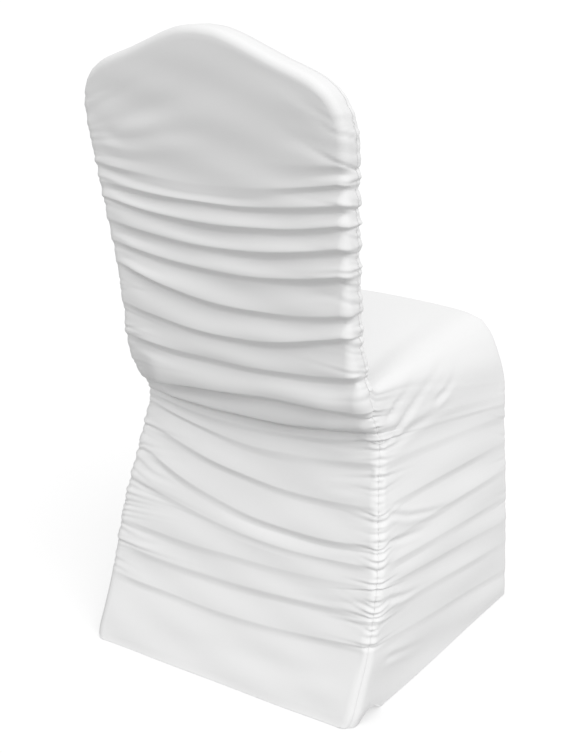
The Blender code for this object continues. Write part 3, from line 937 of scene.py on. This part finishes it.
def front_line():
    """The front seam from the -X hem over the seat to the +X hem."""
    leg = [front_edge(row.front) for row in reversed(LEG_ROWS)]
    shoulder = [front_edge(mix(LEG_ROWS[0].front, FRONT_LEG_TOP, (k + 1) / INNER_RINGS))
                for k in range(INNER_RINGS)]
    top = []
    for u in column_places(COLUMNS):
        x = u * SEAT_FRONT_REACH
        top.append(Vector((x, read_table(SEAT_FRONT, "half_width", "front_y", abs(x)),
                           read_table(SEAT_FRONT, "half_width", "height", abs(x)))))
    plus = leg + shoulder
    minus = [Vector((-p.x, p.y, p.z)) for p in plus]
    return minus + top + plus[::-1]


def rear_line():
    """The seat cloth's rear edge, point for point with the front seam."""
    up_way = Vector((0.0, 0.0, 1.0))
    legs = {}
    rings = {}
    for side in (-1, 1):
        edges = [(*side_edge(side, side_height(row, side)), row) for row in LEG_ROWS]
        legs[side] = [rear_margin(outer, normal, 1.0)[:2] for outer, normal, row in edges]
        outer, normal, row = edges[0]
        rings[side] = []
        for share in RING_SHARES[-2:0:-1]:
            point, out, reach = inner_margin(outer, normal, share)
            rings[side].append((point + out * ring_push(row, side, share, reach, INNER_EASE_AT_FACE), up_way))
    middle = [(base_point(u) + Vector((0.0, -base_push(u), 0.0)), up_way) for u in column_places(COLUMNS)]
    return legs[-1][::-1] + rings[-1] + middle + rings[1][::-1] + legs[1]


def line_normals(points):
    """The way out from a line at each of its points, from the runs of line near it."""
    runs = [(high - low, (high + low) / 2) for low, high in zip(points, points[1:])]
    normals = []
    for point in points:
        way = Vector((0.0, 0.0, 0.0))
        for run, middle in runs:
            apart = (point - middle).length / NORMAL_REACH
            if apart < NORMAL_END:
                way += run * exp(-0.5 * apart * apart)
        normals.append(Vector((-way.z, 0.0, way.x)).normalized())
    normals[0] = Vector((-1.0, 0.0, 0.0))
    normals[-1] = Vector((1.0, 0.0, 0.0))
    return normals


def full_swell(turn, radius):
    return radius * (1.0 - sin(turn))


def swell_share(run, turn, radius):
    if turn > FULL_TURN - SMALLEST_TURN:
        return 1.0
    lean = max(cos(turn) - run / radius, 0.0)
    return (sqrt(1.0 - lean * lean) - sin(turn)) / (1.0 - sin(turn))


def station_shares():
    """Stations from the rear seam at 0 to the front seam at 1, crowded towards both."""
    waves = [cos(pi * k / SADDLE_STATIONS) for k in range(SADDLE_STATIONS + 1)]
    return [0.5 - 0.5 * wave * mix(STATION_CROWDING, 1.0, abs(wave)) for wave in waves]


def below_seat(row, side):
    """How far a row is below the place where the seat meets the backrest."""
    return side_height(LEG_ROWS[0], side) - side_height(row, side)


def side_push(row, side, reach, share):
    """The push on the side of the skirt, reach metres from the rear seam, share of the way to the front."""
    upper = LINES[row.line]
    lower = LINES[min(row.line + 1, len(LINES) - 1)]
    run = mix(side_height(upper, side) - side_height(lower, side), upper.front - lower.front, share)
    u = side * (1.0 + 2.0 * share)
    deep_up = upper.deep_side * waver(row.line, u)
    deep_low = lower.deep_side * waver(row.line + 1, u)
    fold = fold_push(row.share, run, deep_up, deep_low, LAST_CRISP_LINE)
    fold *= mix(1.0, FRONT_EASE, ease(share, FRONT_EASE_FROM, 1.0))
    seam = back_push(row, side) * seam_ease(side_height(row, side))
    push = mix(seam, fold * SIDE_FOLD_SHARE, ease(reach, 0.0, SIDE_FADE))
    return mix(seam * (1.0 - share), push, ease(below_seat(row, side), 0.0, SEAT_EASE))


def scallop(reach, height):
    """The hem lifts a little just in front of the rear foot, where it is stretched."""
    bump = (reach - SCALLOP_FROM_FOOT) / SCALLOP_SPREAD
    if abs(bump) >= 1.0:
        return 0.0
    return HEM_SCALLOP * (1.0 - bump * bump) * max(0.0, 1.0 - height / SCALLOP_HEIGHT)


def leg_dip(row, side):
    """How much of the corner's dip a row of the skirt takes."""
    return 1.0 - ease(below_seat(row, side), 0.0, CORNER_DIP_FADE)


def seat_rise(u, d, share):
    """The seat's padding and its curve up to the inside back, d metres in front of it."""
    dome = SEAT_CROWN * sin(pi * share) * (1.0 - u ** DOME_POWER)
    start_rise = FILLET_RADIUS * (1.0 - cos(LEG_TURN))
    return dome + (fillet(d) - start_rise * (1.0 - share)) * fillet_fade(u)


def seat_and_sides_points():
    rear = rear_line()
    front = front_line()
    front_normals = line_normals(front)
    legs = len(LEG_ROWS)
    rows = LEG_ROWS[::-1] + [None] * (len(rear) - 2 * legs) + LEG_ROWS
    inset = full_swell(LEG_TURN, FRONT_RADIUS)
    minus_dips = [leg_dip(row, -1) for row in reversed(LEG_ROWS)]
    plus_dips = [leg_dip(row, 1) for row in LEG_ROWS]
    ring_dips = [1.0 - (k + 1) / (INNER_RINGS + 1) for k in range(INNER_RINGS)]
    dips = minus_dips + ring_dips + [0.0] * (COLUMNS + 1) + ring_dips[::-1] + plus_dips
    spread = [-1.0] * INNER_RINGS + column_places(COLUMNS) + [1.0] * INNER_RINGS
    columns = []
    for i, (start, way_out) in enumerate(rear):
        finish = front[i] - front_normals[i] * inset
        finish.y += inset
        length = (finish - start).length
        row = rows[i]
        side = -1 if i < len(rear) / 2 else 1
        turn = rear_turn(side_height(row, side)) if row else FULL_TURN
        radius = rear_radius(side_height(row, side)) if row else TUBE_RADIUS
        flat_way = Vector((side, 0.0, 0.0)) if row else Vector((0.0, 0.0, 1.0))
        column = []
        for share in station_shares():
            d = share * length
            point = mix(start, finish, share)
            out = mix(flat_way, front_normals[i], ease(share, 0.0, OUT_BLEND)).normalized()
            rise = mix(full_swell(turn, radius), inset, share)
            rise *= swell_share(d, turn, radius) * swell_share(length - d, LEG_TURN, FRONT_RADIUS)
            point += out * rise
            if row:
                height = side_height(row, side)
                push = side_push(row, side, d, share)
                push += rear_gathers(side, height, d)
                push += gather_push(FRONT_GATHERS[side], row.front, length - d)
                ahead = (front_normals[i] - Vector((0.0, 1.0, 0.0))).normalized()
                way = mix(way_out, out, ease(d, 0.0, SEAM_REACH))
                way = mix(way, ahead, ease(d, length - SEAM_REACH, length))
                point += way.normalized() * push
                point.z += scallop(d, point.z)
                point.x -= side * corner_tuck(height, d)
            else:
                point.z += seat_rise(spread[i - legs], d, share)
            place = Vector((-abs(point.x), point.y, point.z))
            loose = ease(d, *LOOSE) * ease(length - d, *LOOSE)
            point += out * (wrinkle_push(SIDE_WRINKLES, place) + slack(point)) * loose
            point.z -= CORNER_DIP * dips[i] * min(d / DIP_START, 1.0) * (1.0 - ease(d, DIP_START, DIP_END))
            column.append(point)
        columns.append(column)
    return [columns]


# %% [markdown]
# ## The front of the skirt
#
# The front cloth hangs from the seat's front edge. The side creases run on round its corners and fade
# across it.

# %% Points of the front of the skirt
FRONT_RING_SHARES = [k / 6 for k in range(7)]
# The share of the skirt's height over which the seat's curved front edge fades out
ARCH_FADE = 0.5


def front_skirt_points():
    line = front_line()
    normals = line_normals(line)
    side_count = len(LEG_ROWS) + INNER_RINGS
    rows = [None] * INNER_RINGS + LEG_ROWS
    minus = [p - n * FRONT_RADIUS for p, n in zip(line[:side_count], normals)][::-1]
    plus = [p - n * FRONT_RADIUS for p, n in zip(line[-side_count:], normals[-side_count:])]
    top = line[side_count - 1:len(line) - side_count + 1]
    top_normals = normals[side_count - 1:len(line) - side_count + 1]
    crest_line = [p - n * FRONT_RADIUS for p, n in zip(top, top_normals)]
    total = minus[0].z - minus[-1].z
    face = []
    for j in range(side_count):
        share = 1.0 - ease(minus[0].z - minus[j].z, 0.0, total * ARCH_FADE)
        row = rows[j]
        across = []
        for k, crest in enumerate(crest_line):
            t = k / (len(crest_line) - 1)
            chord = mix(crest_line[0], crest_line[-1], t)
            point = mix(minus[j], plus[j], t) + (crest - chord) * share
            if row:
                side = -1 if t < 0.5 else 1
                point.y -= side_push(row, side, SIDE_FADE, 1.0)
            across.append(point)
        face.append(across)
    length = FRONT_RADIUS * LEG_TURN
    rings = []
    for share in FRONT_RING_SHARES:
        ring = []
        for i, (point, normal) in enumerate(zip(line, normals)):
            j = side_count - 1 - i if i < side_count else i - (len(line) - side_count)
            row = rows[j] if 0 <= j < side_count else None
            side = -1 if i < len(line) / 2 else 1
            inner = point - normal * FRONT_RADIUS
            placed, out = wrap(inner, normal, -1.0, FRONT_RADIUS, LEG_TURN, length * share)
            push = 0.0
            if row:
                push = side_push(row, side, SIDE_FADE, 1.0)
                push += gather_push(FRONT_GATHERS[side], row.front, length * (1.0 - share)) * share
            ring.append(placed + out * push)
        rings.append(ring)
    return [face, rings]


# %% [markdown]
# ## The knit
#
# The cloth is a smooth, matt stretch knit in white with a faint sheen. Seen close, a knit is made of fine
# upright ribs crossed by rows of loops. Two wave textures at the size of real stitches give that in the bump.

# %% Make the knit's material
WHITE = (1.0, 1.0, 1.0, 1.0)
KNIT_LOOK = {"Base Color": (0.80, 0.80, 0.80, 1.0), "Roughness": 0.62, "Sheen Weight": 0.15,
             "Sheen Roughness": 0.45, "Specular IOR Level": 0.25}
KNIT_BUMP = {"Strength": 0.12, "Distance": 0.0003}
# The ribs and the rows of loops: across which axis, how far apart and how uneven
Stitch = namedtuple("Stitch", "direction pitch distortion")
STITCHES = [Stitch("X", 0.0011, 0.0), Stitch("Z", 0.0009, 1.5)]
# The bands of a wave texture of scale 1 are about this far apart
BAND_DISTANCE = 2.0 / 6.283


def set_inputs(node, values):
    for socket, value in values.items():
        node.inputs[socket].default_value = value


def paint(name, look):
    material = bpy.data.materials.new(name)
    material.use_nodes = True
    set_inputs(material.node_tree.nodes["Principled BSDF"], look)
    return material


def make_knit(name):
    material = paint(name, KNIT_LOOK)
    nodes = material.node_tree.nodes
    links = material.node_tree.links
    place = nodes.new("ShaderNodeTexCoord")
    both = nodes.new("ShaderNodeMath")
    both.operation = "MULTIPLY"
    for number, stitch in enumerate(STITCHES):
        wave = nodes.new("ShaderNodeTexWave")
        wave.bands_direction = stitch.direction
        set_inputs(wave, {"Scale": BAND_DISTANCE / stitch.pitch, "Distortion": stitch.distortion})
        links.new(place.outputs["Object"], wave.inputs["Vector"])
        links.new(wave.outputs["Fac"], both.inputs[number])
    bump = nodes.new("ShaderNodeBump")
    set_inputs(bump, KNIT_BUMP)
    links.new(both.outputs[0], bump.inputs["Height"])
    links.new(bump.outputs["Normal"], nodes["Principled BSDF"].inputs["Normal"])
    return material


knit = make_knit("white_stretch_knit")
print("The knit's material has", len(knit.node_tree.nodes), "nodes")

# %% [markdown]
# ## Sew the panels
#
# Each list of points becomes a mesh: neighbouring points make faces, the patches are joined where they share
# points, and all faces are turned outwards. A Solidify modifier gives the cloth its thickness.

# %% Turn points into cloth
CLOTH_THICKNESS = 0.0012
# Points nearer than this to each other become one
JOIN_DISTANCE = 0.00003


def sew(name, patches, centre):
    bm = bmesh.new()
    for patch in patches:
        grid = [[bm.verts.new(point + TO_MIDDLE) for point in line] for line in patch]
        for first, second in zip(grid, grid[1:]):
            for a, b, c, d in zip(first, first[1:], second[1:], second):
                bm.faces.new((a, b, c, d))
    bmesh.ops.remove_doubles(bm, verts=bm.verts[:], dist=JOIN_DISTANCE)
    bmesh.ops.recalc_face_normals(bm, faces=bm.faces[:])
    bm.normal_update()
    lean = sum(f.calc_area() * f.normal.dot(f.calc_center_median() - centre) for f in bm.faces)
    if lean < 0.0:
        bmesh.ops.reverse_faces(bm, faces=bm.faces[:])
    area = sum(f.calc_area() for f in bm.faces)
    mesh = bpy.data.meshes.new(name)
    bm.to_mesh(mesh)
    bm.free()
    mesh.shade_smooth()
    mesh.materials.append(knit)
    cloth = add_object(name, mesh)
    thickness = cloth.modifiers.new("thickness", "SOLIDIFY")
    thickness.thickness = CLOTH_THICKNESS
    thickness.offset = -1.0
    thickness.use_quality_normals = True
    print(name, len(mesh.polygons), "faces,", round(area, 3), "square metres of cloth")
    return cloth


# Each cloth looks away from a place inside the cover
MIDDLE = Vector((0.0, 0.0, 0.5))
TUBE_CENTRE = Vector((0.0, 0.19, 0.68))
BODY_CENTRE = Vector((0.0, -0.05, 0.20))
outside_back = sew("outside_back_cloth", outside_back_points(), MIDDLE)
inside_back = sew("inside_back_cloth", inside_back_points(), TUBE_CENTRE)
seat_and_sides = sew("seat_and_sides_cloth", seat_and_sides_points(), BODY_CENTRE)
front_skirt = sew("front_skirt_cloth", front_skirt_points(), BODY_CENTRE)

# %% [markdown]
# ## Put each cloth in its panel's place
#
# Every cloth stands in for the plain solid of the same panel, which is hidden, and rides on the cover's one
# body.
# The table also gives the size each was cut to before the elastic drew it up.

# %% Tie the cloths to the frame
CUTS = [
    (outside_back, "outside_back_panel", (0.50, 1.08)),
    (inside_back, "inside_back_panel", (0.45, 0.50)),
    (seat_and_sides, "seat_and_sides_panel", (0.46, 1.42)),
    (front_skirt, "front_skirt_panel", (0.46, 0.56)),
]
for cloth, node, flat in CUTS:
    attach(cloth, "root")
    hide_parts(node)

# %% [markdown]
# ## The studio
#
# The photograph was taken on white, with a large soft light overhead and to the right. An even sky gives most
# of the light and a broad sun the rest. The floor has to look white, but a floor as pale as that would throw
# light up into the creases and wash them out. So the floor is painted a middle grey and also glows, and its
# glow falls on nothing but the floor itself.

# %% Lay the floor
FLOOR_SIZE = 30.0
FLOOR_LOOK = {"Base Color": (0.40, 0.40, 0.40, 1.0), "Roughness": 0.9, "Specular IOR Level": 0.0,
              "Emission Color": WHITE, "Emission Strength": 0.595}

floor_shape = bmesh.new()
bmesh.ops.create_grid(floor_shape, x_segments=1, y_segments=1, size=FLOOR_SIZE)
floor_mesh = bpy.data.meshes.new("floor")
floor_shape.to_mesh(floor_mesh)
floor_shape.free()
floor_mesh.materials.append(paint("pale_floor", FLOOR_LOOK))
floor = add_object("floor", floor_mesh)
lit_by_floor = bpy.data.collections.new("lit_by_floor")
floor.light_linking.receiver_collection = lit_by_floor
lit_by_floor.objects.link(floor)
print("The floor reaches", FLOOR_SIZE, "metres to each side")

# %% Light the cover
SKY_STRENGTH = 0.855
KEY_STRENGTH = 1.39
# The way to the broad sun, and how wide it is in the sky
KEY_WAY = Vector((-0.30, 0.19, 0.265))
KEY_WIDTH = radians(50)

studio = bpy.data.worlds.new("studio")
studio.use_nodes = True
set_inputs(studio.node_tree.nodes["Background"], {"Color": WHITE, "Strength": SKY_STRENGTH})
bpy.context.scene.world = studio
bpy.context.scene.view_settings.view_transform = "Standard"

overhead_data = bpy.data.lights.new("overhead", "SUN")
overhead_data.energy = KEY_STRENGTH
overhead_data.angle = KEY_WIDTH
overhead = add_object("overhead", overhead_data)
overhead.rotation_euler = KEY_WAY.to_track_quat("Z", "Y").to_euler()
print("The sun is", KEY_STRENGTH, "strong and the sky", SKY_STRENGTH)
